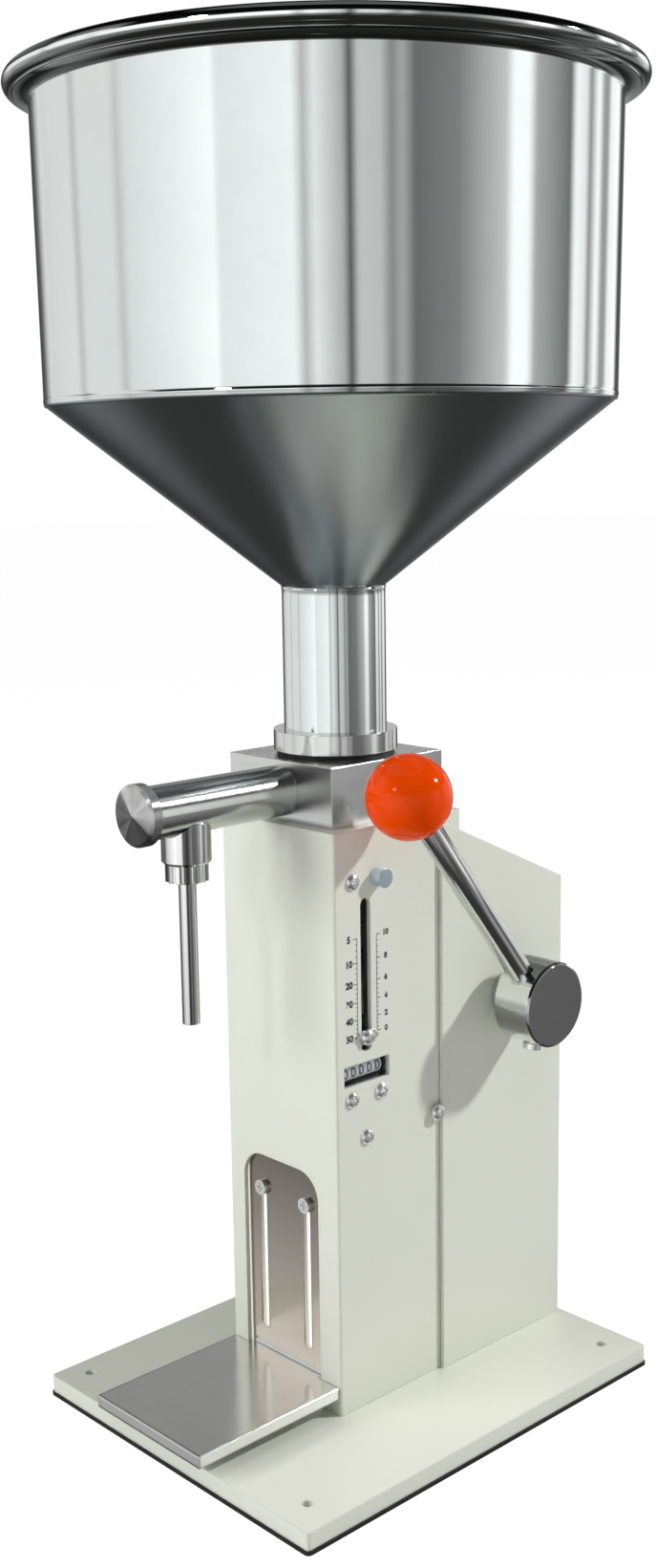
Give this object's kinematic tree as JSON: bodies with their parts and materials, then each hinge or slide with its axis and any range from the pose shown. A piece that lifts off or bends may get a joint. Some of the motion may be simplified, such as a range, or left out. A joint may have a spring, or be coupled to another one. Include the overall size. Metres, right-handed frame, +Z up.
{
  "type": "manual paste filling machine",
  "caption": "Hand-lever paste filler: steel hopper, valve block and piston pump on a sheet-metal column, with a sliding platform under its nozzle.",
  "frame": {"origin": "centre of the underside of the base plate's rubber mat, on the bench", "axes": "+Z up; the nozzle and the platform point to -Y; the lever, the scale and the counter are on the +X side"},
  "size_m": [0.3212, 0.3212, 0.7],
  "materials": {
    "cream_paint": "semi-gloss powder coat",
    "stainless": "turned and brushed",
    "polished_stainless": "polished",
    "zinc_plated": "zinc plated",
    "dark_steel": "machined",
    "bronze": "machined",
    "black_rubber": "matte",
    "orange_knob": "glossy",
    "black_plastic": "matte",
    "white_plastic": "satin",
    "clear_plastic": "clear"
  },
  "bodies": {
    "machine": {"base_plate": "cream_paint", "base_mat": "black_rubber", "base_screws": "zinc_plated", "column_casing": "cream_paint", "rear_cover": "cream_paint", "cover_edge_screws": "stainless", "casing_stay": "dark_steel", "stay_screws": "stainless", "bearing_frame": "dark_steel", "frame_screws": "zinc_plated", "bush_left": "bronze", "bush_right": "bronze", "valve_block": "stainless", "block_screws": "zinc_plated", "pump_cylinder": "stainless", "cylinder_cap": "stainless", "rod_bush": "bronze", "inlet_spring": "dark_steel", "valve_spider": "stainless", "hopper": "stainless", "neck_collar": "polished_stainless", "hopper_gasket": "black_rubber", "discharge_tube": "polished_stainless", "tube_cap": "polished_stainless", "discharge_spring": "dark_steel", "nozzle_socket": "polished_stainless", "nozzle_nut": "stainless", "nozzle_pipe": "polished_stainless", "leg_backing": "cream_paint", "platform_screws": "stainless", "guide_rail": "dark_steel", "rail_screw": "stainless", "lock_screw": "zinc_plated", "counter_case": "black_plastic", "counter_axle": "stainless", "counter_lens": "clear_plastic", "counter_screws": "stainless"},
    "lever": {"lever_shaft": "stainless", "shaft_collar": "zinc_plated", "shaft_spacer": "stainless", "rocker_arm": "dark_steel", "rocker_pin": "stainless", "lever_hub": "polished_stainless", "hub_screw": "stainless", "lever_rod": "polished_stainless", "ball_knob": "orange_knob"},
    "piston_unit": {"piston": "stainless", "piston_rings": "white_plastic", "piston_rod": "stainless", "cross_pin": "stainless", "pin_sleeves": "bronze", "pin_clips": "dark_steel"},
    "platform": {"platform_tray": "stainless"},
    "stroke_stop": {"stop_block": "dark_steel", "pointer_screw": "stainless", "scale_pointer": "stainless"},
    "inlet_disc": {"inlet_valve": "stainless"},
    "discharge_plug": {"discharge_valve": "stainless"},
    "counter_drums": {"counter_wheels": "white_plastic"}
  },
  "joints": [
    {"name": "lever_swing", "type": "hinge", "parent": "machine", "child": "lever", "pos_m": [0, 0.0822, 0.2185], "axis": [1, 0, 0], "range_deg": [0, 35.27]},
    {"name": "piston_slide", "type": "slide", "parent": "machine", "child": "piston_unit", "axis": [0, 0, 1], "range_m": [-0.0521, 0]},
    {"name": "platform_height", "type": "slide", "parent": "machine", "child": "platform", "axis": [0, 0, 1], "range_m": [0, 0.08]},
    {"name": "stroke_setting", "type": "slide", "parent": "machine", "child": "stroke_stop", "axis": [0, 0, 1], "range_m": [0, 0.066]},
    {"name": "inlet_valve_lift", "type": "slide", "parent": "machine", "child": "inlet_disc", "axis": [0, 0, -1], "range_m": [0, 0.004], "stiffness_N_per_m": 150, "springref_m": -0.003, "deforming": ["inlet_spring"]},
    {"name": "discharge_valve_lift", "type": "slide", "parent": "machine", "child": "discharge_plug", "axis": [0, -1, 0], "range_m": [0, 0.008], "stiffness_N_per_m": 300, "springref_m": -0.003, "deforming": ["discharge_spring"]},
    {"name": "counter_turn", "type": "hinge", "parent": "machine", "child": "counter_drums", "pos_m": [0.0313, -0.0252, 0.1982], "axis": [0, 1, 0], "continuous": true}
  ],
  "couplings": [
    {"joint": "piston_slide", "follows": "lever_swing", "m_per_rad": -0.084484}
  ]
}
